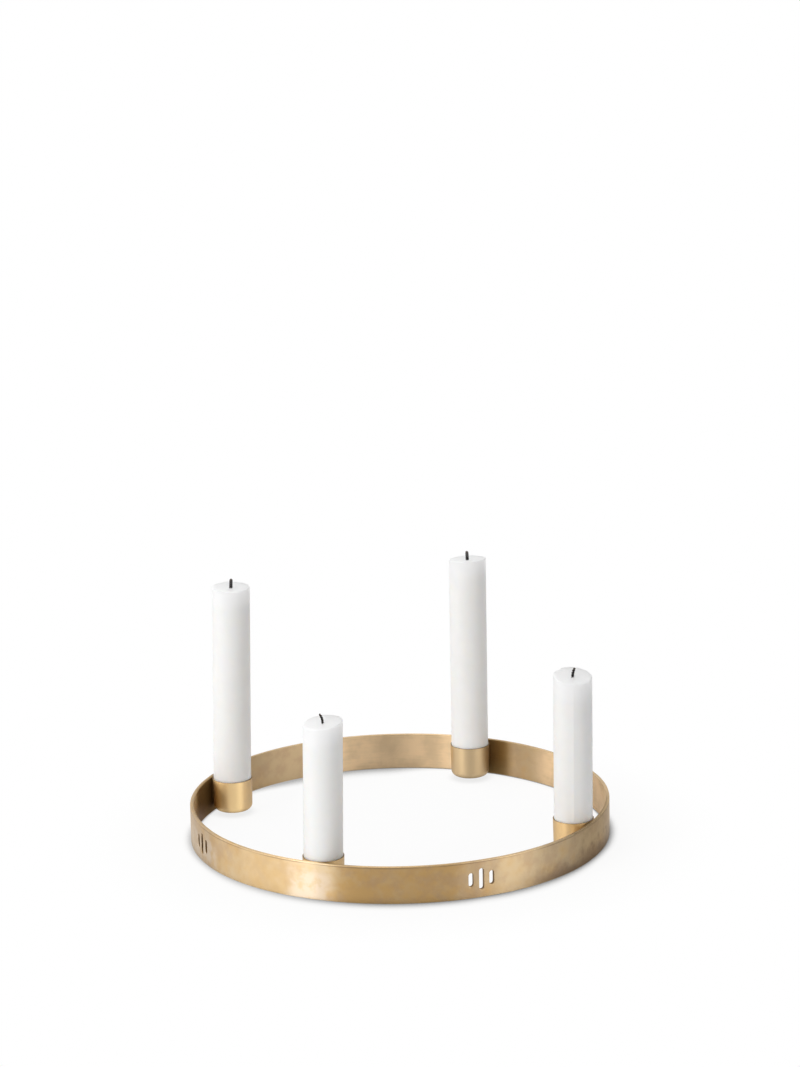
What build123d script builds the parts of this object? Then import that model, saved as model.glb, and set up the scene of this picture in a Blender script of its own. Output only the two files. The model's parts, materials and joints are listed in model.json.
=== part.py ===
from build123d import *
from dataclasses import dataclass
from math import acos, cos, degrees, radians, sin, tan
import os

# Advent candle holder: a pierced brass ring with four cups inside it and a burnt candle in each cup.
# Lengths are in millimetres and angles in degrees. Z is up, the table is Z = 0, the ring's axis is Z.

# Ring: a flat strip rolled into a hoop that stands on its edge
ring_diameter = 250.0
band_height = 22.0
band_thickness = 2.2
band_edge_radius = 0.3

# Slots: a group of upright slots midway between neighbouring cups, the middle one longer
slot_width = 3.0
slot_pitch = 6.4
middle_slot_length = 12.6
side_slot_length = 8.2

# Candles: they set the bore of the cups
candle_diameter = 22.8
candle_clearance = 0.15
candle_corner_gap = 0.3
right_candle_height = 106.1
back_candle_height = 137.2
left_candle_height = 139.4
front_candle_height = 98.8

# Burnt tops: a shallow pool inside a rounded lip
pool_depth = 0.9
pool_lip = 1.3
lip_radius = 1.1

# Cast seam: a keel that runs up one candle, where two flats meet
seam_half_angle = 12.5
seam_start_gap = 1.0

# Wicks: flat braid, bent over and tapered where it has burnt
wick_width = 2.3
wick_thickness = 1.5
wick_clearance = 0.1
wick_exposed = 6.1
wick_station_shares = (0.0, 0.4, 0.8, 1.0)
wick_taper_shares = (1.0, 1.0, 0.85, 0.5)

# Cups: drawn from thin sheet, a little wider at the mouth, level with the band's top edge
cup_wall = 0.5
cup_taper = 0.4
cup_corner_radius = 3.6
cup_rim_radius = 0.15
cup_table_gap = 2.0

# Solder: fills the crevice between each cup and the band
solder_gap = 0.12
solder_fillet_radius = 0.45
solder_wetting_angle = 30.0
solder_end_margin = 1.5

# Cutting tools run past what they cut by this much
cut_overrun = 2.0


@dataclass
class CandlePlace:
    """One candle: where its cup stands, how tall it is and how it has burnt."""
    cup_heading: float
    height: float
    lean: float
    lean_heading: float
    pool_tilt: float
    pool_heading: float
    wick_turn: float
    wick_bend: float
    wick_heading: float
    seam_heading: float | None = None


candles = {
    "right": CandlePlace(
        cup_heading=0,
        height=right_candle_height,
        lean=0.2,
        lean_heading=23,
        pool_tilt=11.5,
        pool_heading=-46,
        wick_turn=70,
        wick_bend=24,
        wick_heading=23,
        seam_heading=-67,
    ),
    "back": CandlePlace(
        cup_heading=90,
        height=back_candle_height,
        lean=0.1,
        lean_heading=23,
        pool_tilt=1.5,
        pool_heading=200,
        wick_turn=23,
        wick_bend=6,
        wick_heading=203,
    ),
    "left": CandlePlace(
        cup_heading=180,
        height=left_candle_height,
        lean=1.3,
        lean_heading=23,
        pool_tilt=1.0,
        pool_heading=-67,
        wick_turn=23,
        wick_bend=7,
        wick_heading=203,
    ),
    "front": CandlePlace(
        cup_heading=270,
        height=front_candle_height,
        lean=1.1,
        lean_heading=23,
        pool_tilt=10.3,
        pool_heading=-127,
        wick_turn=113,
        wick_bend=38,
        wick_heading=203,
    ),
}

ring_radius = ring_diameter / 2
band_inner_radius = ring_radius - band_thickness
candle_radius = candle_diameter / 2
seam_radius = candle_radius / cos(radians(seam_half_angle))

cup_height = band_height - cup_table_gap
cup_floor = cup_table_gap + cup_wall
cup_depth = band_height - cup_floor
cup_mouth_radius = candle_radius + candle_clearance + cup_wall
cup_foot_radius = cup_mouth_radius - cup_taper
cup_floor_radius = cup_mouth_radius - cup_wall - cup_taper * cup_depth / cup_height
cup_centre_radius = band_inner_radius - solder_gap - cup_mouth_radius

# The foot is slim enough for a leaning candle to keep its clearance all the way down the cup
steepest_lean = max(place.lean for place in candles.values())
candle_foot_radius = cup_floor_radius - candle_clearance - cup_depth * tan(radians(steepest_lean))
candle_foot_round = cup_corner_radius - cup_wall + candle_corner_gap
candle_flat_radius = candle_foot_radius - candle_foot_round


def tapered_pot(bottom, top, foot_radius, mouth_radius, corner_radius):
    """A solid of revolution with a sloping wall and a rounded bottom corner."""
    outline = Polyline((0, bottom), (foot_radius, bottom), (mouth_radius, top), (0, top), close=True)
    face = make_face(outline)
    foot_corner = face.vertices().group_by(Axis.Y)[0].sort_by(Axis.X)[-1]
    return revolve(Plane.XZ * fillet(foot_corner, corner_radius), Axis.Z)


def ring_band():
    """The hoop with its broken edges and all its slots."""
    hoop = Circle(ring_radius) - Circle(band_inner_radius)
    band = extrude(hoop, band_height)
    band = fillet(band.edges().filter_by(GeomType.CIRCLE), band_edge_radius)
    slot_step = degrees(slot_pitch / ring_radius)
    between_cups = 180 / len(candles)
    for place in candles.values():
        for offset in (-1, 0, 1):
            heading = radians(place.cup_heading + between_cups + offset * slot_step)
            outward = (cos(heading), sin(heading), 0)
            wall_plane = Plane((0, 0, band_height / 2), x_dir=(0, 0, 1), z_dir=outward)
            slot_length = side_slot_length if offset else middle_slot_length
            band -= extrude(wall_plane * SlotOverall(slot_length, slot_width), ring_radius + cut_overrun)
    return band


def cup_outside():
    """The cup's outer form, with no hollow."""
    return tapered_pot(cup_table_gap, band_height, cup_foot_radius, cup_mouth_radius, cup_corner_radius)


def cup():
    """A drawn cup with an even wall and a rounded rim."""
    inner_corner_radius = cup_corner_radius - cup_wall
    inner_mouth_radius = cup_mouth_radius - cup_wall
    hollow = tapered_pot(cup_floor, band_height, cup_floor_radius, inner_mouth_radius, inner_corner_radius)
    shell = cup_outside() - hollow
    return fillet(shell.edges().group_by(Axis.Z)[-1], cup_rim_radius)


def solder():
    """The solder on the +X cup: it meets cup and band face to face and ends in two hollow fillets."""
    bottom = cup_table_gap + cup_corner_radius
    top = band_height - solder_end_margin
    middle_radius = cup_mouth_radius - cup_taper * (band_height - (bottom + top) / 2) / cup_height
    # The fillet's centre is one radius from both walls, so three sides of its triangle are known
    to_axis = band_inner_radius - solder_fillet_radius
    to_cup = middle_radius + solder_fillet_radius
    spread = acos((to_axis**2 + cup_centre_radius**2 - to_cup**2) / (2 * to_axis * cup_centre_radius))
    fillet_x = to_axis * cos(spread)
    fillet_y = to_axis * sin(spread)
    wall_x = ring_radius * cos(spread)
    wall_y = ring_radius * sin(spread)
    outline = Polyline(
        (cup_centre_radius, 0),
        (fillet_x, fillet_y),
        (wall_x, wall_y),
        (wall_x, -wall_y),
        (fillet_x, -fillet_y),
        close=True,
    )
    block = extrude(Plane.XY.offset(bottom) * make_face(outline), top - bottom)
    block &= extrude(Circle(band_inner_radius), band_height)
    block -= Pos(cup_centre_radius, 0, 0) * cup_outside()
    hollow_radius = solder_fillet_radius / cos(radians(solder_wetting_angle))
    for side_y in (fillet_y, -fillet_y):
        block -= extrude(Pos(fillet_x, side_y, 0) * Circle(hollow_radius), band_height)
    return block


def candle_section(place):
    """The candle's cross-section: round, or round with two flats that meet at the cast seam."""
    if place.seam_heading is None:
        return Circle(candle_radius)
    touch_x = candle_radius * cos(radians(seam_half_angle))
    touch_y = candle_radius * sin(radians(seam_half_angle))
    rest_of_circle = CenterArc((0, 0), candle_radius, seam_half_angle, 360 - 2 * seam_half_angle)
    flats = Polyline((touch_x, -touch_y), (seam_radius, 0), (touch_x, touch_y))
    return Rot(Z=place.seam_heading) * make_face([rest_of_circle, *flats.edges()])


def burnt_space(place):
    """What the flame has taken: all above a tilted pool and the rounded lip around it."""
    lip_end = seam_radius / cos(radians(place.pool_tilt))
    lip_start = lip_end - lip_radius
    pool_radius = candle_radius - pool_lip
    headroom = candle_diameter
    pool = TangentArc((0, -pool_depth), (pool_radius, 0), tangent=(1, 0))
    lip_top = Line((pool_radius, 0), (lip_start, 0))
    lip = TangentArc((lip_start, 0), (lip_end, -lip_radius), tangent=(1, 0))
    rest = Polyline(
        (lip_end, -lip_radius),
        (candle_diameter, -lip_radius),
        (candle_diameter, headroom),
        (0, headroom),
        (0, -pool_depth),
    )
    space = revolve(Plane.XZ * make_face([pool, lip_top, lip, *rest.edges()]), Axis.Z)
    tilt = radians(place.pool_tilt)
    heading = radians(place.pool_heading)
    uphill = (sin(tilt) * cos(heading), sin(tilt) * sin(heading), cos(tilt))
    return Plane((0, 0, place.height), z_dir=uphill) * space


def wick_section(place, share, growth):
    """The wick's rounded flat section, at a share of its size and grown all round."""
    return Rot(Z=place.wick_turn) * SlotOverall(
        share * wick_width + 2 * growth,
        share * wick_thickness + 2 * growth,
    )


def candle(place):
    """One candle, upright, with its foot on Z = 0."""
    seam_start = cup_depth + seam_start_gap
    blank_top = place.height + seam_radius * tan(radians(place.pool_tilt)) + cut_overrun
    shaft = extrude(Plane.XY.offset(seam_start) * candle_section(place), blank_top - seam_start)
    collar = extrude(Plane.XY.offset(cup_depth) * Circle(candle_radius), seam_start_gap)
    foot = tapered_pot(0, cup_depth, candle_foot_radius, candle_radius, candle_foot_round)
    bore = extrude(wick_section(place, 1, wick_clearance), blank_top)
    return (shaft - burnt_space(place)) + collar + foot - bore


def wick(place):
    """One wick, upright: straight inside the candle, then bent over its exposed length."""
    exit_height = place.height - pool_depth
    exposed_height = Pos(0, 0, exit_height)
    bend_radius = wick_exposed / radians(place.wick_bend)
    heading = radians(place.wick_heading)
    bend_axis = Axis((0, 0, 0), (-sin(heading), cos(heading), 0))
    sections = []
    for station, share in zip(wick_station_shares, wick_taper_shares):
        turn = station * place.wick_bend
        sideways = bend_radius * (1 - cos(radians(turn)))
        rise = bend_radius * sin(radians(turn))
        spot = Pos(sideways * cos(heading), sideways * sin(heading), rise)
        sections.append(exposed_height * spot * wick_section(place, share, 0).rotate(bend_axis, turn))
    return extrude(wick_section(place, 1, 0), exit_height) + loft(sections)


def stand_in_cup(shape, place):
    """Lean a candle or its wick about the middle of the cup's mouth and set its foot on the cup's floor."""
    heading = radians(place.lean_heading)
    lean_axis = Axis((0, 0, cup_depth), (-sin(heading), cos(heading), 0))
    seat_rise = candle_flat_radius * sin(radians(place.lean))
    cup_middle = Rot(Z=place.cup_heading) * Pos(cup_centre_radius, 0, cup_floor + seat_rise)
    return Pos(*cup_middle.position) * shape.rotate(lean_axis, place.lean)


pieces = {"ring_band": ring_band()}
for name, place in candles.items():
    pieces[f"cup_{name}"] = Rot(Z=place.cup_heading) * Pos(cup_centre_radius, 0, 0) * cup()
    pieces[f"braze_{name}"] = Rot(Z=place.cup_heading) * solder()
    pieces[f"candle_{name}"] = stand_in_cup(candle(place), place)
    pieces[f"wick_{name}"] = stand_in_cup(wick(place), place)

os.makedirs("parts", exist_ok=True)
for node, shape in pieces.items():
    export_step(shape, f"parts/{node}.step")
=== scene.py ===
import json
from dataclasses import dataclass
from math import atan2, ceil, cos, exp, pi, radians, sin, sqrt, tan

import bmesh
import bpy
from bpy.props import FloatProperty, FloatVectorProperty, PointerProperty
from mathutils import Matrix, Vector, noise


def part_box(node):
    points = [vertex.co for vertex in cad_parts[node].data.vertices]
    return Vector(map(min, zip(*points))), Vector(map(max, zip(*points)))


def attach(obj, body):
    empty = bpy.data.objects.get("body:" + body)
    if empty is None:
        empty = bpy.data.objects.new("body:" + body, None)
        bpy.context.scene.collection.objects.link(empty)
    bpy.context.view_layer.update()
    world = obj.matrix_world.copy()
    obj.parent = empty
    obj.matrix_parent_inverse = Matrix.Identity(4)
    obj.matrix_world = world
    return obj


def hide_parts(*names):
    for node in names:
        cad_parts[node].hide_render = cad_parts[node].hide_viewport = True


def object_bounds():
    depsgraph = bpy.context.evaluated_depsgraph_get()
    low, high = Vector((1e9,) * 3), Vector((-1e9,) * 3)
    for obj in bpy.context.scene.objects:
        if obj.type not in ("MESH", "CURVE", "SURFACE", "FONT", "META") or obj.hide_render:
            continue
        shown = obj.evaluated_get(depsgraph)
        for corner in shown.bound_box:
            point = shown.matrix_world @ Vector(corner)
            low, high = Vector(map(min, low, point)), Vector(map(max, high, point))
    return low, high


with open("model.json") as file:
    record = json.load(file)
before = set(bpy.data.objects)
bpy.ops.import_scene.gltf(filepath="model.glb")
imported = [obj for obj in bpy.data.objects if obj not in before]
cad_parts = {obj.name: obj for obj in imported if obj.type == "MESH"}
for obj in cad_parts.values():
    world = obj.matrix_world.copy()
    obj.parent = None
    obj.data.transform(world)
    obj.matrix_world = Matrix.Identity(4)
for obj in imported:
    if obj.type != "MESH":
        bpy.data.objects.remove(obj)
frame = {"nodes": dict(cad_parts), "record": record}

bl_info = {
    "name": "Advent candle holder",
    "version": (1, 0, 0),
    "blender": (4, 5, 0),
    "location": "View3D > Sidebar > Candle holder",
    "description": "Dresses a pierced brass candle ring with its finishes, wax and wicks, and sets a stage",
    "category": "Object",
}

# Sizes that the frame gives, in metres
cad_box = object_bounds()
ring_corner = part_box("ring_band")[1]
ring_radius = ring_corner.x
band_height = ring_corner.z
band_inner_radius = min(v.co.xy.length for v in frame["nodes"]["ring_band"].data.vertices)
slot_groups = [m["pos_m"] for m in frame["record"]["mounts"] if m["name"].startswith("slots_")]

quarter_turn = pi / 2
full_turn = 2 * pi

# Points nearer to each other than this are one, in metres
touching = 1e-6

# Rings of a candle's burnt top, as shares of its radius: close together over the lip
top_reaches = (0.998, 0.99, 0.98, 0.965, 0.945, 0.92, 0.89, 0.84, 0.76, 0.67, 0.55, 0.42, 0.3, 0.2, 0.1)

# Grain of the band's brass in metres: along the band, up it and through it
brush_grain = (0.02, 0.00025, 0.01)
scratch_grain = (0.006, 0.0009, 0.01)
smear_grain = (0.014, 0.0012, 0.01)
dent_grain = (0.02, 0.006, 0.01)

# Grain of the cups' brass in metres: across the cup both ways and up it
turning_grain = (0.03, 0.03, 0.0002)
groove_grain = (0.05, 0.05, 0.0008)


@dataclass
class Patches:
    """Patches of one kind: the headings of their middles and their half width, in degrees."""
    headings: tuple
    half_width: float


# Patches on the outside of the band: pale bloom, at -91.5 a painted highlight; painted shade; polished brass
# painted brighter as a highlight; and clean brass painted darker as a reflection where the band faces the
# camera
bloom_and_highlight_patches = Patches((-141, -132, -91.5), 8)
painted_shade_patches = Patches((-45,), 7)
polished_and_highlight_patches = Patches((-105,), 11)
clean_and_shaded_patches = Patches((-66,), 26)

# Patches on the inside of the band: wiped paler, partly as painted light, and painted shade beside the cups
wiped_and_lit_patches = Patches((128, 103, 57, 32), 16)
cup_shade_patches = Patches((85, 184, 191, -83, -5), 7.5)

# Where the cups with painted highlights stand, each with the sides that carry them, and the cup that is
# tarnished
painted_highlight_cups = (
    (Patches((0,), 20), Patches((-57,), 30)),
    (Patches((180,), 20), Patches((-57, -120), 30)),
)
tarnished_cups = Patches((90,), 20)


@dataclass
class BurntCandle:
    """One candle: how tall it is, how it leans and how it has burnt. Metres and degrees."""
    side: str
    height: float
    lean: float
    pool_depth: float
    pool_tilt: float
    pool_heading: float
    wick_turn: float
    wick_bend: float
    wick_heading: float
    nick_depth: float
    nick_heading: float
    seam_heading: float | None = None
    lean_heading: float = 23


candles = (
    BurntCandle(
        side="right", height=0.1061, lean=0.2,
        pool_depth=0.0009, pool_tilt=11.5, pool_heading=-46,
        wick_turn=70, wick_bend=24, wick_heading=23,
        nick_depth=0.0009, nick_heading=161, seam_heading=-67,
    ),
    BurntCandle(
        side="back", height=0.1386, lean=0.1,
        pool_depth=0.001, pool_tilt=5.5, pool_heading=130,
        wick_turn=23, wick_bend=6, wick_heading=203,
        nick_depth=0.0004, nick_heading=175,
    ),
    BurntCandle(
        side="left", height=0.1394, lean=1.3,
        pool_depth=0.0009, pool_tilt=1.0, pool_heading=-67,
        wick_turn=23, wick_bend=4, wick_heading=23,
        nick_depth=0.0003, nick_heading=150,
    ),
    BurntCandle(
        side="front", height=0.0988, lean=1.1,
        pool_depth=0.0005, pool_tilt=8.5, pool_heading=-127,
        wick_turn=113, wick_bend=38, wick_heading=203,
        nick_depth=0.0005, nick_heading=185,
    ),
)


@dataclass
class Card:
    """A soft lamp or a dark card that faces the candles. Degrees and metres; a brightness of 1 is white."""
    name: str
    from_camera: float
    size: tuple
    brightness: float
    elevation: float = 14
    distance: float = 2.4


soft_lamps = (
    Card("key", from_camera=-50.5, size=(0.8, 1.4), brightness=6.0, elevation=17),
    Card("overhead", from_camera=-90, size=(1.4, 1.4), brightness=2.2, elevation=75, distance=2.0),
)

# Lamps and dark cards that only the metal mirrors
metal_lamps = (
    Card("left_card", from_camera=-88, size=(2.5, 1.4), brightness=2.0),
    Card("right_card", from_camera=55, size=(1.6, 1.4), brightness=2.4),
)
dark_cards = (
    Card("front_dark_card", from_camera=3, size=(2.75, 1.8), brightness=0.32, elevation=16),
    Card("right_dark_card", from_camera=120, size=(2.6, 1.8), brightness=0.02, distance=2.3),
)


def length(name, description, default):
    """A length that the user can change."""
    shown = {"name": name, "description": description, "precision": 5, "unit": "LENGTH"}
    return FloatProperty(default=default, min=0.0, **shown)


def angle(name, description, degrees):
    """An angle that the user can change."""
    return FloatProperty(name=name, description=description, default=radians(degrees), subtype="ANGLE")


def share(name, description, default):
    """A share, from none to all, that the user can change."""
    shown = {"name": name, "description": description, "subtype": "FACTOR"}
    return FloatProperty(default=default, min=0.0, max=1.0, **shown)


def colour(name, description, default):
    """A colour that the user can change."""
    shown = {"name": name, "description": description, "subtype": "COLOR"}
    return FloatVectorProperty(default=default, min=0.0, max=1.0, **shown)


def group(name, kind):
    """A group of settings, described by its own docstring."""
    return PointerProperty(type=kind, name=name, description=kind.__doc__)


class BandSettings(bpy.types.PropertyGroup):
    """The pierced band's sizes."""
    slot_width: length("Slot width", "Width of each slot in the band", 0.003)
    slot_pitch: length("Slot pitch", "Distance between slots, along the band", 0.0064)
    middle_slot_length: length("Middle slot", "Length of the middle slot of a group", 0.0126)
    side_slot_length: length("Side slots", "Length of the two outer slots of a group", 0.0082)
    edge_radius: length("Edge radius", "Rounding of the band's four long edges", 0.0003)
    slot_edge_radius: length("Slot edge radius", "Rounding of the slots' edges", 0.00015)
    waviness: length("Waviness", "How far the rolled strip strays from a true circle", 0.00008)
    flat_half_angle: angle("Flat half angle", "Half the turn that is straight at slots and cups", 5.6)
    kink_spread: angle("Kink spread", "Half the turn over which a kink is softened", 1.5)


class CandleSettings(bpy.types.PropertyGroup):
    """Sizes that all candles share."""
    diameter: length("Diameter", "Candle's diameter above the cup", 0.0228)
    foot_radius: length("Foot radius", "Radius of the slim foot in the cup", 0.01057)
    foot_round: length("Foot rounding", "Rounding of the foot's lower corner", 0.0034)
    cup_wall: length("Cup wall", "Thickness of the cup's floor under the foot", 0.0005)
    shoulder: length("Shoulder", "Rounding of the side just above the cup", 0.00025)
    lip_width: length("Lip width", "Width of the lip around the pool", 0.0009)
    lip_drop: length("Lip drop", "How far the lip rounds over onto the side", 0.0007)
    lip_unevenness: length("Lip unevenness", "How far the lip rises and falls", 0.00025)
    seam_half_angle: angle("Seam half angle", "Half the angle of the cast seam's two flats", 12.5)
    surface_ripple: length("Surface ripple", "Depth of the soft hollows in the wax", 0.00008)


class WickSettings(bpy.types.PropertyGroup):
    """Sizes of the flat plaited wicks."""
    width: length("Width", "Width of the plait", 0.0023)
    thickness: length("Thickness", "Thickness of the plait", 0.0015)
    exposed: length("Exposed length", "Length of the wick above the pool", 0.0057)
    buried: length("Buried length", "Length of the plait below the pool", 0.003)
    plait_pitch: length("Plait pitch", "Length over which one strand crosses and returns", 0.0042)
    strand_radius: length("Strand radius", "Radius of one strand", 0.00042)
    fray: length("Fray", "Roughness of the charred strands", 0.00006)


class BrassSettings(bpy.types.PropertyGroup):
    """The brass of band and cups, and the solder between them."""
    clean: colour("Clean brass", "Brass where the lacquer has kept it bright", (0.53, 0.325, 0.118))
    hazy: colour("Hazy brass", "Brass under a thin grey patina", (0.55, 0.41, 0.235))
    # Pale bloom, also used to paint the key light's highlight on the band
    bloom: colour("Bloom", "Brass where handling has left a pale bloom", (0.62, 0.515, 0.405))
    stain: colour("Stain", "Brass under thin brown stains", (0.40, 0.255, 0.145))
    # Brown brass of thick patina, also used to paint shade on the band and on the cups' rims
    brown: colour("Brown brass", "Brass where the patina is thickest", (0.18, 0.105, 0.055))
    worn: colour("Worn edge", "Brass along rubbed edges", (0.64, 0.47, 0.26))
    # Pale dry brass inside the band, bright enough to paint light where the wall's reflections fall dark
    inner: colour("Inner side", "Pale dry brass on the inside of the band", (1.0, 0.755, 0.47))
    # Painted shade on the inside of the band beside the cups
    soot: colour("Soot", "Brass inside the band beside the cups", (0.19, 0.12, 0.045))
    # Painted shade on brass in the slots and crevices
    recess: colour("Recess", "Brass in the slots and crevices", (0.20, 0.11, 0.035))
    # Solder colour, dark partly as painted shade of the crevices
    solder: colour("Solder", "Dull solder in the joints", (0.19, 0.12, 0.05))
    cup: colour("Cup brass", "Brass of the cups, brighter than the band", (0.71, 0.50, 0.245))
    # Bright cup brass that paints highlights on the cups
    rubbed: colour("Rubbed brass", "Cup brass that wiping has kept bright", (0.98, 0.73, 0.37))
    roughness: share("Roughness", "Roughness of the clean brass", 0.34)
    brushing: share("Brushing", "How far the brush marks draw out the highlights", 0.92)
    brush_depth: length("Brush depth", "Depth of the brush marks", 0.000001)
    dent_depth: length("Dent depth", "Depth of the soft dents of hand finishing", 0.00002)
    # Heading of the thickest patina, painted darker there as the shade reflected at the band's right limb
    dull_heading: angle("Dull side", "Heading where the patina is thickest", 5.0)
    lacquer: share("Lacquer", "Strength of the clear lacquer", 0.9)


class WaxSettings(bpy.types.PropertyGroup):
    """The candles' wax and the charred wicks."""
    wax: colour("Wax", "Colour of the candle", (0.93, 0.925, 0.91))
    # Melted wax, lighter than the rest to paint the glow near the top
    melted: colour("Melted wax", "Colour of the wax near the flame", (0.96, 0.957, 0.95))
    char: colour("Char", "Colour of the burnt wick", (0.016, 0.014, 0.013))
    ember: colour("Singed tip", "Colour of the wick's tip", (0.075, 0.042, 0.02))
    roughness: share("Roughness", "Roughness of the wax", 0.52)
    translucency: share("Translucency", "How much light travels through the wax", 0.5)
    glow_depth: length("Glow depth", "How far light travels in the wax", 0.004)
    melted_depth: length("Melted depth", "How far light travels in melted wax", 0.02)


class StageSettings(bpy.types.PropertyGroup):
    """Camera, floor and lights."""
    camera_place: FloatVectorProperty(
        name="Camera place",
        description="Where the camera stands",
        default=(0.8748, -2.0035, 0.7551),
        subtype="TRANSLATION",
        unit="LENGTH",
    )
    camera_heading: angle("Camera heading", "Turn of the camera about the ring's axis", 23.5)
    camera_pitch: angle("Camera pitch", "How far the camera looks down", 14.632)
    camera_roll: angle("Camera roll", "Turn of the picture", -1.159)
    lens: FloatProperty(name="Lens", description="Focal length", default=130.1, unit="CAMERA")
    floor: colour("Floor", "Colour of the floor", (0.86, 0.86, 0.86))
    floor_size: length("Floor size", "Width of the floor", 14.0)
    ambient: share("Ambient", "Light from all around", 0.5)
    contact_reach: length("Contact reach", "How far the contact shadow reaches", 0.006)
    cast_shadow: share("Cast shadow", "How much of the lamps' own shadows the floor shows", 0.09)


class HolderSettings(bpy.types.PropertyGroup):
    """Everything that the user can change."""
    band: group("Band", BandSettings)
    candle: group("Candles", CandleSettings)
    wick: group("Wicks", WickSettings)
    brass: group("Brass", BrassSettings)
    wax: group("Wax", WaxSettings)
    stage: group("Stage", StageSettings)


class Wire:
    """A shader socket. Sums on it add Math nodes, and node() adds any other node to the same tree."""

    def __init__(self, tree, made=None, output=0):
        self.tree = tree
        self.made = made
        self.socket = made.outputs[output] if made and made.outputs else None

    def node(self, kind, sockets=None, output=0, **settings):
        """Add a node: its settings first, then the values or links of its sockets."""
        made = self.tree.nodes.new(kind)
        for name, value in settings.items():
            setattr(made, name, value)
        for key, value in (sockets or {}).items():
            if isinstance(value, Wire):
                self.tree.links.new(value.socket, made.inputs[key])
            else:
                made.inputs[key].default_value = value
        return Wire(self.tree, made, output)

    def out(self, output):
        """Another output of the same node."""
        return Wire(self.tree, self.made, output)

    def math(self, operation, *values):
        """Add a Math node that works on these values."""
        return self.node("ShaderNodeMath", dict(enumerate(values)), operation=operation)

    def __add__(self, other):
        return self.math("ADD", self, other)

    def __sub__(self, other):
        return self.math("SUBTRACT", self, other)

    def __rsub__(self, other):
        return self.math("SUBTRACT", other, self)

    def __mul__(self, other):
        return self.math("MULTIPLY", self, other)

    def __pow__(self, other):
        return self.math("POWER", self, other)

    def __abs__(self):
        return self.math("ABSOLUTE", self)

    __radd__ = __add__
    __rmul__ = __mul__


def opaque(rgb):
    """A colour as shader sockets take it."""
    return (*rgb, 1.0)


white = opaque((1.0, 1.0, 1.0))
black = opaque((0.0, 0.0, 0.0))


def blend(amount, first, second):
    """Mix two colours: the first where the amount is 0, the second where it is 1."""
    factor, first_colour, second_colour, mixed_colour = 0, 6, 7, 2
    sockets = {factor: amount, first_colour: first, second_colour: second}
    return amount.node("ShaderNodeMix", sockets, mixed_colour, data_type="RGBA")


def painted(tone, coats):
    """Lay coats of colour over a tone, each as dense as its amount says."""
    for amount, coat in coats:
        tone = blend(amount, tone, opaque(coat))
    return tone


def between(amount, first, second):
    """The first value where the amount is 0, the second where it is 1, and between them elsewhere."""
    return first + amount * (second - first)


def rise(value, low, high):
    """0 below the low value, 1 above the high one and smooth between them."""
    sockets = {"Value": value, "From Min": low, "From Max": high}
    return value.node("ShaderNodeMapRange", sockets, interpolation_type="SMOOTHSTEP")


def fall(value, low, high):
    """1 below the low value, 0 above the high one and smooth between them."""
    return 1 - rise(value, low, high)


def cloud(place, size, detail=3.0, roughness=0.5):
    """Soft noise from 0 to 1 whose patches are about this size."""
    sockets = {"Vector": place, "Scale": 1 / size, "Detail": detail, "Roughness": roughness}
    return place.node("ShaderNodeTexNoise", sockets)


def streaks(place, sizes):
    """Noise stretched to these sizes along the three axes of its place."""
    scale = {0: place, 1: tuple(1 / size for size in sizes)}
    stretched = place.node("ShaderNodeVectorMath", scale, operation="MULTIPLY")
    return stretched.node("ShaderNodeTexNoise", {"Vector": stretched, "Scale": 1.0, "Detail": 2.0})


def within(heading, patches):
    """1 in the middle of each patch and 0 beyond its half width."""
    edge = cos(radians(patches.half_width))
    turns = [heading - radians(middle) for middle in patches.headings]
    found = sum(rise(heading.math("COSINE", turn), edge, 1.0) for turn in turns)
    return heading.math("MINIMUM", found, 1.0)


def relief(height, depth, under=None):
    """A bump of this depth in metres where the height goes from 0 to 1, on top of another one if given."""
    sockets = {"Height": height, "Distance": depth, "Strength": 1.0}
    if under:
        sockets["Normal"] = under
    return height.node("ShaderNodeBump", sockets)


def new_material(name, finish, settings):
    """A material with the shader that a finish makes of its settings."""
    material = bpy.data.materials.new(name)
    material.use_nodes = True
    material.node_tree.nodes.clear()
    start = Wire(material.node_tree)
    start.node("ShaderNodeOutputMaterial", {"Surface": finish(start, settings)})
    return material


def surface(start, sockets):
    """A surface shader with these sockets."""
    return start.node("ShaderNodeBsdfPrincipled", sockets)


def mixed(amount, first, second):
    """Two shaders: the first where the amount is 0, the second where it is 1."""
    return amount.node("ShaderNodeMixShader", {0: amount, 1: first, 2: second})


def parts_of(vector):
    """The three parts of a place or a direction."""
    parts = vector.node("ShaderNodeSeparateXYZ", {0: vector})
    return parts.out("X"), parts.out("Y"), parts.out("Z")


def spot_on_piece(start):
    """The place on the piece and its three parts, in metres."""
    place = start.node("ShaderNodeTexCoord").out("Object")
    return place, *parts_of(place)


def heading_of(x, y):
    """The heading of a place or a direction, in radians."""
    return x.math("ARCTAN2", y, x)


def radius_of(x, y):
    """How far a place lies from the upright axis, in metres."""
    return (x * x + y * y) ** 0.5


def mesh_value(start, name):
    """A value that the mesh carries at each of its points."""
    return start.node("ShaderNodeAttribute", attribute_name=name).out("Fac")


def patina(place, extra=0.0):
    """How hazy the brass is: broad clouds with mottled edges, and more where asked."""
    broad = cloud(place, size=0.04, detail=2.0)
    mottle = cloud(place, size=0.006)
    return rise(0.6 * broad + 0.4 * mottle + extra, low=0.36, high=0.74)


def lacquered_metal(tone, metal, rough, normal, brushing, lacquer):
    """Brass under clear lacquer, whose brush marks draw its highlights out upwards."""
    return {
        "Base Color": tone,
        "Metallic": metal,
        "IOR": 3.0,
        "Specular Tint": opaque((0.88, 0.82, 0.74)),
        "Roughness": rough,
        "Anisotropic": brushing,
        "Anisotropic Rotation": 0.25,
        "Coat Weight": lacquer,
        "Coat Roughness": 0.25,
        "Coat IOR": 2.0,
        "Normal": normal,
    }


@dataclass
class BandSpot:
    """A point of the band: its place, heading and height, and how far it is on each face, from 0 to 1."""
    place: Wire
    strip: Wire
    heading: Wire
    height: Wire
    rim: Wire
    in_slot: Wire
    inside: Wire
    outside: Wire
    smear: Wire


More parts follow.
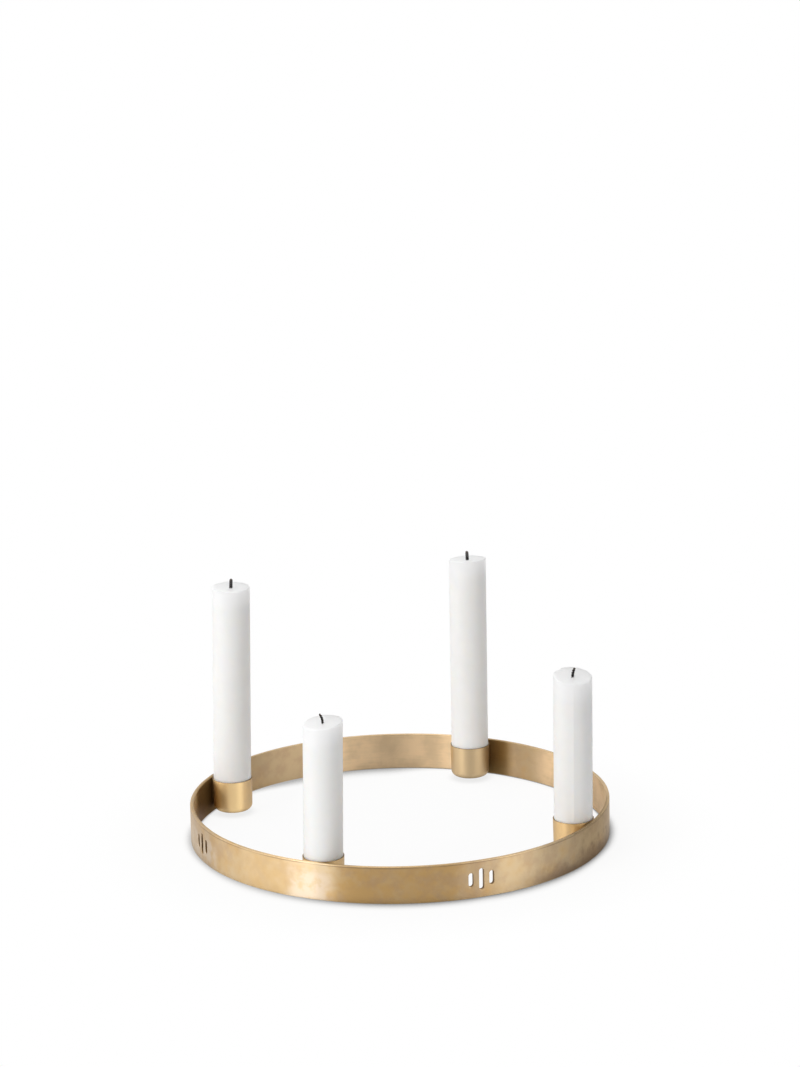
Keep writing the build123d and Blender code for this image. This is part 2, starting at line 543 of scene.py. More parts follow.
def spot_on_band(start):
    """Find where a point of the band lies, and on which of its faces."""
    place, x, y, height = spot_on_piece(start)
    heading, radius = heading_of(x, y), radius_of(x, y)
    along = abs(heading) * ring_radius
    strip = start.node("ShaderNodeCombineXYZ", {"X": along, "Y": height, "Z": radius})
    worn_rim, whole_rim = 0.0002, 0.0007
    rim = fall(start.math("MINIMUM", height, band_height - height), worn_rim, whole_rim)
    skin, straying = 0.0002, 0.00025
    inner_skin = band_inner_radius + skin
    outer_skin = ring_radius - straying - skin
    in_wall = rise(radius, band_inner_radius, inner_skin) * fall(radius, outer_skin, outer_skin + skin)
    inside = fall(radius, inner_skin, outer_skin)
    smear = streaks(strip, smear_grain)
    return BandSpot(place, strip, heading, height, rim, in_wall * (1 - rim), inside, 1 - inside, smear)


def cup_shade_inside(spot):
    """How much painted shade darkens the inside beside the cups, smeared a little along the band."""
    return within(spot.heading, cup_shade_patches) * between(spot.smear, 0.85, 1.0) * spot.inside


def wiped_and_lit_inside(spot):
    """How pale and dry the inside is, partly as painted light: most where it was wiped, in smears and
    clouds.
    """
    cloudy = rise(0.2 * spot.smear + 0.8 * cloud(spot.place, size=0.012), low=0.35, high=0.65)
    wiped = within(spot.heading, wiped_and_lit_patches) * between(cloudy, 0.6, 1.0)
    return between(wiped, 0.15, 1.0) * spot.inside


def bloom_and_highlight_outside(spot):
    """How far a pale bloom covers the outside, at -91.5 as a painted highlight: in flecks, and thinner near
    the top.
    """
    flecks = rise(cloud(spot.place, size=0.006), low=0.35, high=0.6)
    thins_from, thins_to, wander = 0.015, 0.021, 0.004
    near_top = rise(spot.height + wander * spot.smear, thins_from, thins_to)
    cover = between(flecks, 0.35, 1.0) * between(near_top, 1.0, 0.3)
    return within(spot.heading, bloom_and_highlight_patches) * spot.outside * cover


def brown_and_shade_outside(spot, to_dull_side, dull):
    """How brown the dull side is, patina and the painted shade of a dark reflection at the limb: in
    blotches, more of them low down, and along its foot.
    """
    blotch = cloud(spot.place, size=0.007, detail=5.0, roughness=0.65)
    low_down = fall(spot.height, 0.0, 0.7 * band_height)
    blotches = rise(1.2 * blotch + 0.4 * low_down, low=0.55, high=1.05)
    foot_full, foot_end = 0.001, 0.012
    ragged_height = spot.height + foot_end * (blotch - 0.5)
    foot = rise(to_dull_side, 0.68, 0.96) * fall(ragged_height, foot_full, foot_end) * spot.outside
    return spot.height.math("MAXIMUM", dull * between(blotches, 0.15, 1.0), foot)


def line_under_rim(spot):
    """A dark line outside, just below the upper rim, that comes and goes."""
    line_start, line_full = band_height - 0.0012, band_height - 0.0009
    line = rise(spot.height, line_start, line_full) * (1 - spot.rim) * spot.outside
    return line * rise(cloud(spot.place, size=0.03), low=0.3, high=0.55)


def band_finish(start, brass):
    """Brass brushed along the band, tarnished in clouds, rubbed at its edges, with painted shade in its
    slots and beside the cups and painted highlights outside.
    """
    spot = spot_on_band(start)
    to_dull_side = start.math("COSINE", spot.heading - brass.dull_heading)
    dull = rise(to_dull_side, 0.92, 1.0)
    soot = cup_shade_inside(spot)
    # Clean brass where the band faces the camera, painted darker as the dark reflection there
    kept_clean_and_shaded = within(spot.heading, clean_and_shaded_patches) * spot.outside
    haze = patina(spot.place, 0.1 + 0.05 * dull + 0.06 * spot.inside - 0.22 * kept_clean_and_shaded) * (1 - soot)
    stain = rise(cloud(spot.place, size=0.01, detail=4.0, roughness=0.6), low=0.42, high=0.66)
    tone = painted(opaque(brass.clean), (
        (haze, brass.hazy),
        (0.42 * stain, brass.stain),
        # polished brass, painted brighter as the left flank of the key light's highlight
        (0.4 * within(spot.heading, polished_and_highlight_patches) * spot.outside, brass.cup),
        (0.8 * brown_and_shade_outside(spot, to_dull_side, dull), brass.brown),
        # painted shade at the front right slot group
        (0.26 * within(spot.heading, painted_shade_patches) * spot.outside, brass.brown),
        (0.75 * bloom_and_highlight_outside(spot), brass.bloom),
        (0.55 * line_under_rim(spot), brass.brown),
        (wiped_and_lit_inside(spot) * (1 - soot), brass.inner),
        (0.85 * soot, brass.soot),
        (spot.in_slot, brass.recess),
        (0.4 * spot.rim, brass.worn),
    ))
    brush, scratch = streaks(spot.strip, brush_grain), streaks(spot.strip, scratch_grain)
    rough = brass.roughness + 0.1 * haze + 0.05 * (brush - 0.5) + 0.2 * spot.inside * (1 - 1.2 * soot)
    dents = relief(streaks(spot.strip, dent_grain), brass.dent_depth)
    brushed = relief(0.7 * brush + 0.3 * scratch, brass.brush_depth, dents)
    metal = 0.98 - 0.1 * haze * spot.outside * (1 - dull)
    lacquer = 0.2 * brass.lacquer * (1 - dull)
    brushed_metal = lacquered_metal(tone, metal, rough, brushed, brass.brushing, lacquer)
    # A dark, dull copy of the brass that paints the shade beside the cups
    cup_shade_metal = {
        **brushed_metal,
        "Metallic": 0.6,
        "IOR": 1.45,
        "Specular Tint": opaque((0.3, 0.2, 0.09)),
        "Coat Weight": 0.0,
    }
    return mixed(soot, surface(start, brushed_metal), surface(start, cup_shade_metal))


def cup_finish(start, brass):
    """Brass turned in fine marks, with painted highlights on some sides, tarnished in places and painted
    shade at the rim.
    """
    place, x, y, height = spot_on_piece(start)
    normal_x, normal_y, _ = parts_of(start.node("ShaderNodeTexCoord").out("Normal"))
    heading, facing = heading_of(x, y), heading_of(normal_x, normal_y)
    # painted highlight on the chosen sides of the left and right cups
    rubbed = sum(within(heading, cup) * within(facing, sides) for cup, sides in painted_highlight_cups)
    rim_start, rim_full = band_height - 0.0004, band_height - 0.0001
    haze = patina(place)
    tone = painted(opaque(brass.clean), (
        (haze, brass.hazy),
        (between(haze, 0.75, 0.45), brass.cup),
        (0.9 * within(heading, tarnished_cups), brass.hazy),
        (0.8 * rubbed, brass.rubbed),
        # painted shade on the rim, where it lies in shadow beside the candle
        (0.55 * rise(height, rim_start, rim_full), brass.brown),
    ))
    turning, groove = streaks(place, turning_grain), streaks(place, groove_grain)
    rough = 1.5 * brass.roughness + 0.06 * haze + 0.05 * (turning - 0.5)
    dents = relief(cloud(place, size=0.005, detail=2.0), 0.5 * brass.dent_depth)
    turned_marks = relief(0.6 * turning + 0.4 * groove, brass.brush_depth, dents)
    metal = lacquered_metal(tone, 1.0, rough, turned_marks, 0.6 * brass.brushing, 0.3 * brass.lacquer)
    return surface(start, metal)


def solder_finish(start, brass):
    """Dull solder, darkened partly as painted crevice shade, mottled by the torch and a little pitted."""
    place = spot_on_piece(start)[0]
    scale, pits = cloud(place, size=0.0012), cloud(place, size=0.0003)
    pit_depth = 0.00002
    return surface(start, {
        "Base Color": blend(rise(scale, low=0.35, high=0.7), opaque(brass.solder), opaque(brass.recess)),
        "Metallic": 1.0,
        "Roughness": between(scale, 0.5, 0.8),
        "Normal": relief(pits, pit_depth),
    })


def wax_finish(start, wax):
    """Matte wax with soft clouds in it, a little clearer and glossier where it has melted, and painted
    lighter there as a glow.
    """
    place = spot_on_piece(start)[0]
    melt = rise(mesh_value(start, "near_flame"), 0.0, 0.65)
    bloom, grain = cloud(place, size=0.009), cloud(place, size=0.0011)
    clouded = [0.985 * part for part in wax.wax]
    grain_depth = 0.00006
    tone = blend(rise(bloom, low=0.35, high=0.75), opaque(wax.wax), opaque(clouded))
    sides = {
        "Base Color": blend(melt, tone, opaque(wax.melted)),
        "Roughness": wax.roughness + 0.1 * (grain - 0.5) - 0.14 * melt,
        "Specular IOR Level": 0.32,
        "Subsurface Weight": wax.translucency,
        "Subsurface Radius": (1.0, 0.85, 0.7),
        "Subsurface Scale": wax.glow_depth,
        "Normal": relief(0.6 * bloom + 0.4 * grain, grain_depth),
    }
    top = {
        **sides,
        "Subsurface Weight": 1.0,
        "Subsurface Radius": (1.0, 0.98, 0.96),
        "Subsurface Scale": wax.melted_depth,
    }
    return mixed(melt, surface(start, sides), surface(start, top))


def wick_finish(start, wax):
    """Charred cotton, ashy in its fibres and singed brown at the tip."""
    fibre = cloud(spot_on_piece(start)[0], size=0.00025)
    ashy = [3 * part for part in wax.char]
    fibre_depth = 0.00008
    ash = rise(fibre, low=0.45, high=0.8)
    singed = mesh_value(start, "near_tip") * rise(fibre, low=0.25, high=0.6)
    return surface(start, {
        "Base Color": painted(opaque(wax.char), ((ash, ashy), (singed, wax.ember))),
        "Roughness": between(fibre, 0.95, 0.8),
        "Specular IOR Level": 0.2,
        "Normal": relief(fibre, fibre_depth),
    })


def seen_rays(start):
    """1 for what the camera, a reflection or glass shows, and 0 for light that falls on the object."""
    path = start.node("ShaderNodeLightPath")
    return path.out("Is Camera Ray") + path.out("Is Glossy Ray") + path.out("Is Transmission Ray")


def contact_shadow(start, stage, x, y):
    """How dark the floor is beside the band, from 0 to 1: further out in front and at the back left."""
    cosine, sine = cos(stage.camera_heading), sin(stage.camera_heading)
    rightwards = (cosine / ring_radius) * x + (sine / ring_radius) * y
    backwards = (cosine / ring_radius) * y - (sine / ring_radius) * x
    in_front = fall(backwards, -0.96, -0.4)
    back_left = rise(backwards, 0.56, 0.8) * fall(rightwards, -0.08, 0.24)
    reach = stage.contact_reach * (1 + in_front + 2 * back_left)
    open_above = start.node("ShaderNodeAmbientOcclusion", {"Distance": reach}, samples=8).out("AO")
    outside = rise(radius_of(x, y), 0.985 * band_inner_radius, band_inner_radius)
    outer = between(rise(rightwards, -0.8, 0.0), 0.55, 0.88)
    inner = between(back_left, 0.12, 0.75)
    mirrored = start.node("ShaderNodeLightPath").out("Is Glossy Ray")
    depth = between(mirrored, between(outside, inner, outer), 0.65)
    return depth * fall(open_above, 0.34, 1.0)


def floor_finish(start, stage):
    """Pale floor that keeps the shadow near the object and is plain white further off."""
    _, x, y, _ = spot_on_piece(start)
    paper = start.node("ShaderNodeBsdfDiffuse", {"Color": opaque(stage.floor)})
    shaded = blend(contact_shadow(start, stage, x, y), white, black)
    white_paper = start.node("ShaderNodeEmission", {"Color": shaded})
    cast = stage.cast_shadow * fall(radius_of(x, y), ring_radius, 1.6 * ring_radius)
    return mixed(seen_rays(start) * (1 - cast), paper, white_paper)


def card_finish(start, plan):
    """Matte grey board."""
    return surface(start, {"Base Color": opaque((plan.brightness,) * 3), "Roughness": 0.9})


def add_to_scene(name, data):
    """Make an object of a mesh, lamp or camera and put it in the scene."""
    thing = bpy.data.objects.new(name, data)
    bpy.context.scene.collection.objects.link(thing)
    return thing


def add_piece(name, bm, material, body, node):
    """Make an object of a mesh, let it ride on its body and stand for its node."""
    mesh = bpy.data.meshes.new(name)
    for face in bm.faces:
        face.smooth = True
    bm.to_mesh(mesh)
    bm.free()
    mesh.materials.append(material)
    piece = add_to_scene(name, mesh)
    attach(piece, body)
    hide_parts(node)
    return piece


def dress_node(node, material):
    """Give a node that keeps its shape a new finish."""
    mesh = frame["nodes"][node].data
    mesh.materials.clear()
    mesh.materials.append(material)


def steps(first, last, count):
    """Evenly spaced values from the first to the last."""
    return [first + (last - first) * i / count for i in range(count + 1)]


def clamped(value, low=0.0, high=1.0):
    """The value itself, or the limit that it has passed."""
    return min(max(value, low), high)


def around(radius, heading, height=0.0):
    """The point at a distance and heading from the upright axis, and at a height."""
    return Vector((radius * cos(heading), radius * sin(heading), height))


def lean_axis(heading):
    """The level axis about which a thing leans towards a heading."""
    return Vector((-sin(heading), cos(heading), 0.0))


def rim_edges(columns, rows):
    """The edges of a panel that lie on the band's two rims."""
    pairs = list(zip(columns, columns[1:]))
    return [[(left, row), (right, row)] for row in (rows[0], rows[-1]) for left, right in pairs]


def plain_panel(first, last, rows):
    """Faces of an unpierced stretch of the band, as headings and heights."""
    column_width = 0.002
    columns = steps(first, last, ceil((last - first) * ring_radius / column_width))
    faces = []
    for left, right in zip(columns, columns[1:]):
        for low, high in zip(rows, rows[1:]):
            faces.append([(left, low), (right, low), (right, high), (left, high)])
    return faces, rim_edges(columns, rows)


def slot_panel(middle, slot_length, rows, band):
    """Faces round one slot: they run from the panel's border in to the slot's outline."""
    column_count, loop_parts = 4, (0.0, 0.45, 0.8, 1.0)
    half_width = band.slot_pitch / 2 / ring_radius
    columns = steps(middle - half_width, middle + half_width, column_count)
    border = [(column, rows[0]) for column in columns[:-1]]
    border += [(columns[-1], row) for row in rows[:-1]]
    border += [(column, rows[-1]) for column in reversed(columns[1:])]
    border += [(columns[0], row) for row in reversed(rows[1:])]
    straight = (slot_length - band.slot_width) / 2
    outline = []
    for heading, height in border:
        centre = clamped(height, band_height / 2 - straight, band_height / 2 + straight)
        away = Vector(((heading - middle) * ring_radius, height - centre)).normalized() * band.slot_width / 2
        outline.append((middle + away.x / ring_radius, centre + away.y))
    loops = []
    for part in loop_parts:
        loops.append([tuple(Vector(b).lerp(Vector(o), part)) for b, o in zip(border, outline)])
    faces = []
    for outer, inner in zip(loops, loops[1:]):
        for i in range(len(border)):
            faces.append([outer[i - 1], outer[i], inner[i], inner[i - 1]])
    edges = [[outline[i], outline[i - 1]] for i in range(len(border))]
    return faces, edges + rim_edges(columns, rows)


def band_panels(band):
    """All panels of the band: slots in groups, with plain stretches between the groups."""
    row_count = 14
    rows = steps(0.0, band_height, row_count)
    slot_step = band.slot_pitch / ring_radius
    slot_places = (-1, 0, 1)
    group_width = len(slot_places) * slot_step
    for x, y, _ in slot_groups:
        heading = atan2(y, x)
        for place in slot_places:
            slot_length = band.side_slot_length if place else band.middle_slot_length
            yield slot_panel(heading + place * slot_step, slot_length, rows, band)
        first = heading + group_width / 2
        yield plain_panel(first, first + quarter_turn - group_width, rows)


def sharp_edges(bm, along_rim):
    """Square edges of the band: the long ones along its rims, or those of the slots."""
    square_from = 1.0
    found = []
    for edge in bm.edges:
        on_rim = all(abs(v.co.z - band_height / 2) > band_height / 2 - touching for v in edge.verts)
        if edge.calc_face_angle(0.0) > square_from and on_rim == along_rim:
            found.append(edge)
    return found


def straightening(heading, flat):
    """How much nearer the axis the strip runs beside a kink at a slot group or cup."""
    kink_step = quarter_turn / 2
    from_kink = abs((heading + kink_step / 2) % kink_step - kink_step / 2)
    if from_kink > flat:
        return 1.0
    return cos(flat / 2) / cos(from_kink - flat / 2)


def pierced_band(band):
    """The rolled strip with rounded edges and slots, wavering a little from a true circle."""
    bm = bmesh.new()
    for faces, edges in band_panels(band):
        for face in faces:
            bm.faces.new([bm.verts.new(around(ring_radius, *spot)) for spot in face])
            bm.faces.new([bm.verts.new(around(band_inner_radius, *spot)) for spot in reversed(face)])
        for first, second in edges:
            corners = [around(ring_radius, *first), around(ring_radius, *second)]
            corners += [around(band_inner_radius, *second), around(band_inner_radius, *first)]
            bm.faces.new([bm.verts.new(corner) for corner in corners])
    bmesh.ops.remove_doubles(bm, verts=bm.verts, dist=touching)
    bmesh.ops.recalc_face_normals(bm, faces=bm.faces)
    for along_rim, radius in ((True, band.edge_radius), (False, band.slot_edge_radius)):
        edges = sharp_edges(bm, along_rim)
        bmesh.ops.bevel(bm, geom=edges, offset=radius, segments=3, profile=0.5, affect="EDGES")
    wave_length, kink_samples = 0.03, 8
    spread = steps(-band.kink_spread, band.kink_spread, kink_samples)
    for v in bm.verts:
        wave = 0.5 + 0.5 * noise.noise(v.co / wave_length)
        v.co.xy -= v.co.xy.normalized() * band.waviness * wave
        heading = atan2(v.co.y, v.co.x)
        softened = [straightening(heading + turn, band.flat_half_angle) for turn in spread]
        v.co.xy *= sum(softened) / len(softened)
    return bm


def add_skin(bm, rings, first, last):
    """Join rings of points into a closed skin, with one more point at each end."""
    loops = [[bm.verts.new(point) for point in ring] for ring in rings]
    count = len(loops[0])
    for lower, upper in zip(loops, loops[1:]):
        for i in range(count):
            bm.faces.new((lower[i - 1], lower[i], upper[i], upper[i - 1]))
    first, last = bm.verts.new(first), bm.verts.new(last)
    for i in range(count):
        bm.faces.new((first, loops[0][i], loops[0][i - 1]))
        bm.faces.new((last, loops[-1][i - 1], loops[-1][i]))


def seat(candle, sizes):
    """How a candle that stands upright at the origin leans in its cup."""
    low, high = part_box(f"cup_{candle.side}")
    floor = low.z + sizes.cup_wall
    lean = radians(candle.lean)
    lift = (sizes.foot_radius - sizes.foot_round) * sin(lean)
    middle = Vector(((low.x + high.x) / 2, (low.y + high.y) / 2, floor + lift))
    to_mouth = Matrix.Translation((0.0, 0.0, high.z - floor))
    tilt = Matrix.Rotation(lean, 4, lean_axis(radians(candle.lean_heading)))
    return Matrix.Translation(middle) @ to_mouth @ tilt @ to_mouth.inverted()


def turn_between(first, second):
    """The smallest turn between two headings, in radians."""
    return abs((first - second + pi) % full_turn - pi)


def side_radius(candle, sizes, heading):
    """The candle's radius at a heading: round, or drawn out to the cast seam by two flats."""
    radius = sizes.diameter / 2
    if candle.seam_heading is None:
        return radius
    from_seam = turn_between(heading, radians(candle.seam_heading))
    return radius / cos(max(sizes.seam_half_angle - from_seam, 0.0))


def on_seam(candle, spot):
    """True if a point of the candle lies on its cast seam."""
    seam_half_width = 0.001
    return turn_between(atan2(spot.y, spot.x), radians(candle.seam_heading)) < seam_half_width


def burnt_height(candle, sizes, heading, reach):
    """Height of the burnt top at a heading, where the reach is 0 in the middle and 1 at the side."""
    distance = reach * side_radius(candle, sizes, heading)
    downhill = distance * cos(heading - radians(candle.pool_heading))
    level = candle.height - tan(radians(candle.pool_tilt)) * downhill
    lip = 1 - 2 * sizes.lip_width / sizes.diameter
    pool = candle.pool_depth * (1 - min(reach / lip, 1.0) ** 2)
    onto_side = max(reach - lip, 0.0) / (1 - lip)
    over = sizes.lip_drop * (1 - sqrt(1 - onto_side ** 2))
    noise_spot = 2 * around(1.0, heading, candle.height / sizes.lip_drop)
    uneven = sizes.lip_unevenness * noise.noise(noise_spot) * reach ** 3
    nick_spread = 0.16
    from_nick = turn_between(heading, radians(candle.nick_heading)) / nick_spread
    nick = candle.nick_depth * exp(-from_nick ** 2) * reach ** 4
    return level - pool - over + uneven - nick


def foot_profile(sizes, depth):
    """Radius and height of the foot, from its flat up to the cup's mouth."""
    corner_steps, shoulder_steps = 6, 4
    flat = sizes.foot_radius - sizes.foot_round
    profile = [(flat / 2, 0.0)]
    for turn in steps(0.0, quarter_turn, corner_steps):
        profile.append((flat + sizes.foot_round * sin(turn), sizes.foot_round * (1 - cos(turn))))
    out, up = sizes.shoulder / 2, sizes.shoulder
    neck = sizes.diameter / 2 - out
    profile.append((neck, depth - up))
    for turn in steps(0.0, quarter_turn, shoulder_steps)[:-1]:
        profile.append((neck + out * sin(turn), depth + up * (1 - cos(turn))))
    return profile


def side_point(candle, sizes, heading, neck, part):
    """The point on the candle's side at a heading and at a share of the way from its neck up to its lip."""
    ripple_size = 0.012
    above = (burnt_height(candle, sizes, heading, 1.0) - neck) * part
    keel = min(above / sizes.foot_round, 1.0)
    drawn_out = side_radius(candle, sizes, heading) - sizes.diameter / 2
    spot = around(sizes.diameter / 2 + drawn_out * keel, heading, neck + above)
    ripple = sizes.surface_ripple * (0.5 + 0.5 * noise.noise(spot / ripple_size))
    return spot - around(ripple * keel, heading)


def top_point(candle, sizes, heading, reach):
    """The point on the burnt top at a heading and a reach."""
    distance = reach * side_radius(candle, sizes, heading)
    return around(distance, heading, burnt_height(candle, sizes, heading, reach))


def wax_candle(candle, sizes):
    """One burnt candle, from its foot in the cup to the pool round its wick."""
    low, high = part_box(f"cup_{candle.side}")
    depth = high.z - low.z - sizes.cup_wall
    column_count, row_count, crowding = 144, 40, 1.6
    start = radians(candle.seam_heading or 0.0)
    headings = steps(start, start + full_turn, column_count)[:-1]
    parts = [1 - (1 - part) ** crowding for part in steps(0.0, 1.0, row_count)]
    foot, neck = foot_profile(sizes, depth), depth + sizes.shoulder
    rings = [[around(radius, heading, height) for heading in headings] for radius, height in foot]
    rings += [[side_point(candle, sizes, heading, neck, part) for heading in headings] for part in parts]
    rings += [[top_point(candle, sizes, heading, reach) for heading in headings] for reach in top_reaches]
    bm = bmesh.new()
    add_skin(bm, rings, (0.0, 0.0, 0.0), (0.0, 0.0, burnt_height(candle, sizes, 0.0, 0.0)))
    melted_height = 0.013
    flame_layer = bm.verts.layers.float.new("near_flame")
    for v in bm.verts:
        below = burnt_height(candle, sizes, atan2(v.co.y, v.co.x), 1.0) - v.co.z
        v[flame_layer] = 1 - clamped(below / melted_height)
    if candle.seam_heading is not None:
        for edge in bm.edges:
            edge.smooth = not all(on_seam(candle, v.co) for v in edge.verts)
    bm.transform(seat(candle, sizes))
    return bm


def wick_line(candle, wick, part):
    """The wick's middle at a share of its length, and the ways across and through it there."""
    along = part * (wick.buried + wick.exposed) - wick.buried
    exit_height = candle.height - candle.pool_depth
    heading = radians(candle.wick_heading)
    bend = radians(candle.wick_bend) / wick.exposed
    turn = max(along, 0.0) * bend
    sideways = (1 - cos(turn)) / bend
    climb = sin(turn) / bend + min(along, 0.0)
    tilt = Matrix.Rotation(turn, 3, lean_axis(heading))
    facing = radians(candle.wick_turn)
    place = around(sideways, heading, exit_height + climb)
    return place, tilt @ around(1.0, facing), tilt @ lean_axis(facing)


def plaited_wick(candle, wick, sizes):
    """Three strands plaited flat, tapering and fraying to the burnt tip."""
    strand_count, ring_count, corner_count = 3, 48, 10
    tapered_part, taper_at_tip, singed_part = 0.2, 0.4, 0.3
    bm = bmesh.new()
    tip_layer = bm.verts.layers.float.new("near_tip")
    length_in_all = wick.buried + wick.exposed
    for strand in range(strand_count):
        phase = full_turn * strand / strand_count
        rings = []
        for part in steps(0.0, 1.0, ring_count):
            place, across, through = wick_line(candle, wick, part)
            into_taper = max(part - (1 - tapered_part), 0.0) / tapered_part
            taper = 1 - taper_at_tip * into_taper ** 2
            swing = full_turn * part * length_in_all / wick.plait_pitch + phase
            wide = (wick.width / 2 - wick.strand_radius) * sin(swing) * taper
            deep = (wick.thickness / 2 - wick.strand_radius) * sin(2 * swing) * taper
            middle = place + across * wide + through * deep
            ring = []
            for turn in steps(0.0, full_turn, corner_count)[:-1]:
                spoke = across * cos(turn) + through * sin(turn)
                rough = wick.fray * noise.noise((middle + spoke * wick.strand_radius) / (2 * wick.fray))
                ring.append(middle + spoke * (wick.strand_radius * taper + rough))
            rings.append(ring)
        ends = [sum(ring, Vector()) / len(ring) for ring in (rings[0], rings[-1])]
        add_skin(bm, rings, *ends)
    top = candle.height - candle.pool_depth + wick.exposed
    for v in bm.verts:
        v[tip_layer] = clamped(1 - (top - v.co.z) / (singed_part * wick.exposed))
    bm.transform(seat(candle, sizes))
    return bm


def aim_at_candles(thing, plan, stage):
    """Put a lamp or card at its heading off the camera's own and turn it to face the candles."""
    target = (cad_box[0] + cad_box[1]) / 2
    heading = stage.camera_heading - quarter_turn + radians(plan.from_camera)
    elevation = radians(plan.elevation)
    offset = around(plan.distance * cos(elevation), heading, plan.distance * sin(elevation))
    thing.location = target + offset
    thing.rotation_euler = (-offset).to_track_quat("-Z", "Y").to_euler()


def flat_sheet(name, width, height):
    """A mesh of one flat face about the origin."""
    x, y = width / 2, height / 2
    mesh = bpy.data.meshes.new(name)
    mesh.from_pydata([(-x, -y, 0), (x, -y, 0), (x, y, 0), (-x, y, 0)], [], [(0, 1, 2, 3)])
    return mesh


def make_lamp(plan, stage):
    """A soft lamp that the camera doesn't see."""
    width, height = plan.size
    lamp = bpy.data.lights.new(plan.name, "AREA")
    lamp.shape = "RECTANGLE"
    lamp.size = width
    lamp.size_y = height
    lamp.energy = plan.brightness * pi * width * height
    thing = add_to_scene(plan.name, lamp)
    thing.visible_camera = False
    aim_at_candles(thing, plan, stage)
    return thing


def make_dark_card(plan, stage):
    """A dark card that only the brass sees, so that stretches of the band fall dark."""
    mesh = flat_sheet(plan.name, *plan.size)
    mesh.materials.append(new_material(plan.name, card_finish, plan))
    card = add_to_scene(plan.name, mesh)
    card.visible_camera = False
    card.visible_diffuse = False
    card.visible_shadow = False
    aim_at_candles(card, plan, stage)


def make_camera(stage):
    """The camera, at the place and turn from which the ring was measured."""
    camera = add_to_scene("camera", bpy.data.cameras.new("camera"))
    bpy.context.scene.camera = camera
    camera.data.lens = stage.lens
    turn = Matrix.Rotation(stage.camera_heading, 4, "Z")
    turn = turn @ Matrix.Rotation(quarter_turn - stage.camera_pitch, 4, "X")
    turn = turn @ Matrix.Rotation(stage.camera_roll, 4, "Z")
    camera.matrix_world = Matrix.Translation(stage.camera_place) @ turn


def make_floor(stage):
    """One large flat floor under the ring."""
    mesh = flat_sheet("floor", stage.floor_size, stage.floor_size)
    mesh.materials.append(new_material("pale_floor", floor_finish, stage))
    floor = add_to_scene("floor", mesh)


def make_world(stage):
    """Even light from all around, which the camera and the brass see as white."""
    world = bpy.data.worlds.new("studio")
    world.use_nodes = True
    world.node_tree.nodes.clear()
    bpy.context.scene.world = world
    start = Wire(world.node_tree)
    light = blend(seen_rays(start), opaque((stage.ambient,) * 3), white)
    background = start.node("ShaderNodeBackground", {"Color": light, "Strength": 1.0})
    start.node("ShaderNodeOutputWorld", {"Surface": background})


class CANDLE_OT_stage(bpy.types.Operator):
    """Set the camera, the floor and the lights"""
    bl_idname = "candle.stage"
    bl_label = "Set the stage"

    def execute(self, context):
        stage = context.scene.candle_holder.stage
        make_camera(stage)
        make_floor(stage)
        make_world(stage)
        for plan in soft_lamps:
            make_lamp(plan, stage)
        for plan in metal_lamps:
            make_lamp(plan, stage).visible_diffuse = False
        for plan in dark_cards:
            make_dark_card(plan, stage)
        context.scene.view_settings.view_transform = "Standard"
        return {"FINISHED"}


class CANDLE_OT_band(bpy.types.Operator):
    """Make the pierced brass band"""
    bl_idname = "candle.band"
    bl_label = "Make the band"

    def execute(self, context):
        holder = context.scene.candle_holder
        brass = new_material("band_brass", band_finish, holder.brass)
        bm = pierced_band(holder.band)
        piece = add_piece("pierced_band", bm, brass, "holder", "ring_band")
        piece.modifiers.new("flat faces stay flat", "WEIGHTED_NORMAL")
        return {"FINISHED"}


class CANDLE_OT_cups(bpy.types.Operator):
    """Finish the cups and the solder that holds them"""
    bl_idname = "candle.cups"
    bl_label = "Finish the cups"

    def execute(self, context):
        brass = context.scene.candle_holder.brass
        turned_brass = new_material("cup_brass", cup_finish, brass)
        dull_solder = new_material("solder", solder_finish, brass)
        for candle in candles:
            dress_node(f"cup_{candle.side}", turned_brass)
            dress_node(f"braze_{candle.side}", dull_solder)
        return {"FINISHED"}


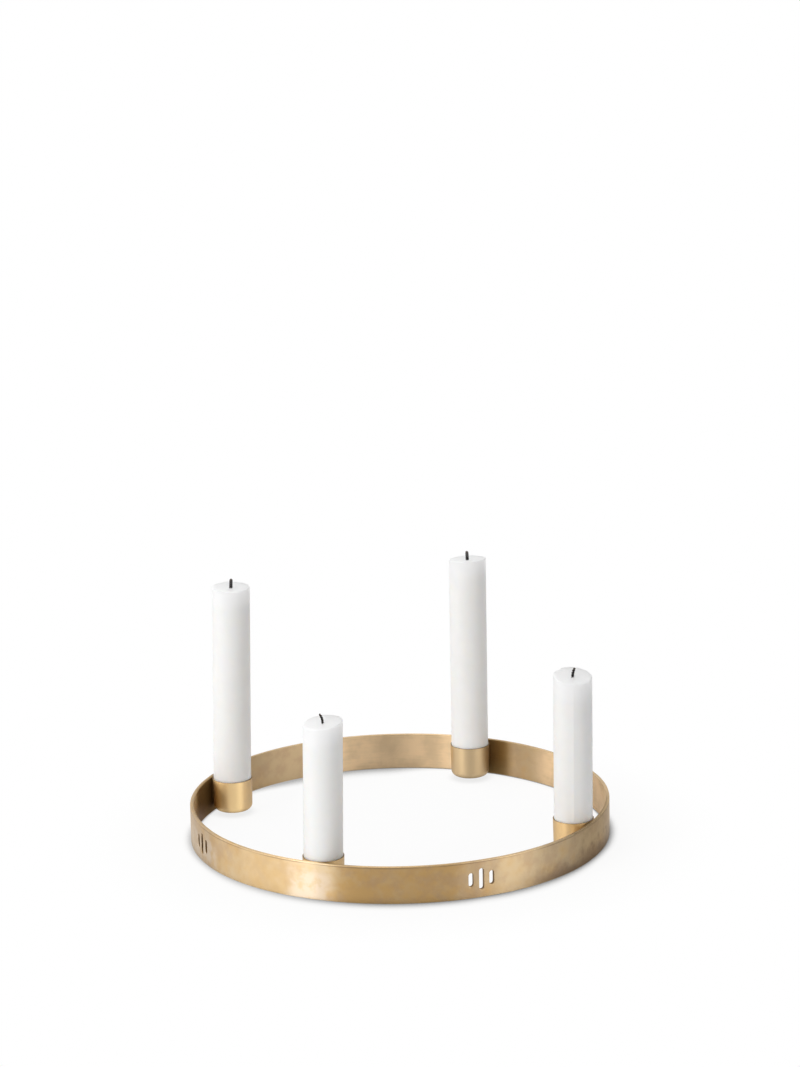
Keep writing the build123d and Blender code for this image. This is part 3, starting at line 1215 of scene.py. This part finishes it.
class CANDLE_OT_candles(bpy.types.Operator):
    """Make the burnt candles"""
    bl_idname = "candle.candles"
    bl_label = "Make the candles"

    def execute(self, context):
        holder = context.scene.candle_holder
        wax = new_material("wax", wax_finish, holder.wax)
        for candle in candles:
            side = candle.side
            bm = wax_candle(candle, holder.candle)
            add_piece(f"burnt_candle_{side}", bm, wax, f"{side}_candle", f"candle_{side}")
        return {"FINISHED"}


class CANDLE_OT_wicks(bpy.types.Operator):
    """Make the plaited wicks"""
    bl_idname = "candle.wicks"
    bl_label = "Make the wicks"

    def execute(self, context):
        holder = context.scene.candle_holder
        char = new_material("charred_wick", wick_finish, holder.wax)
        for candle in candles:
            side = candle.side
            bm = plaited_wick(candle, holder.wick, holder.candle)
            add_piece(f"plaited_wick_{side}", bm, char, f"{side}_candle", f"wick_{side}")
        return {"FINISHED"}


operators = (CANDLE_OT_stage, CANDLE_OT_band, CANDLE_OT_cups, CANDLE_OT_candles, CANDLE_OT_wicks)


class VIEW3D_PT_candle_holder(bpy.types.Panel):
    """The holder's operators and settings"""
    bl_label = "Advent candle holder"
    bl_space_type = "VIEW_3D"
    bl_region_type = "UI"
    bl_category = "Candle holder"

    def draw(self, context):
        for operator in operators:
            self.layout.operator(operator.bl_idname)
        holder = context.scene.candle_holder
        for part in holder.__annotations__:
            box = self.layout.box()
            box.label(text=holder.bl_rna.properties[part].name)
            settings = getattr(holder, part)
            for name in settings.__annotations__:
                box.prop(settings, name)


parts = (BandSettings, CandleSettings, WickSettings, BrassSettings, WaxSettings, StageSettings)
classes = (*parts, HolderSettings, *operators, VIEW3D_PT_candle_holder)


def register():
    for each in classes:
        bpy.utils.register_class(each)
    bpy.types.Scene.candle_holder = PointerProperty(type=HolderSettings)


def unregister():
    del bpy.types.Scene.candle_holder
    for each in reversed(classes):
        bpy.utils.unregister_class(each)


def main():
    """Dress the whole holder."""
    register()
    bpy.ops.candle.stage()
    bpy.ops.candle.band()
    bpy.ops.candle.cups()
    bpy.ops.candle.candles()
    bpy.ops.candle.wicks()


if __name__ == "__main__":
    main()
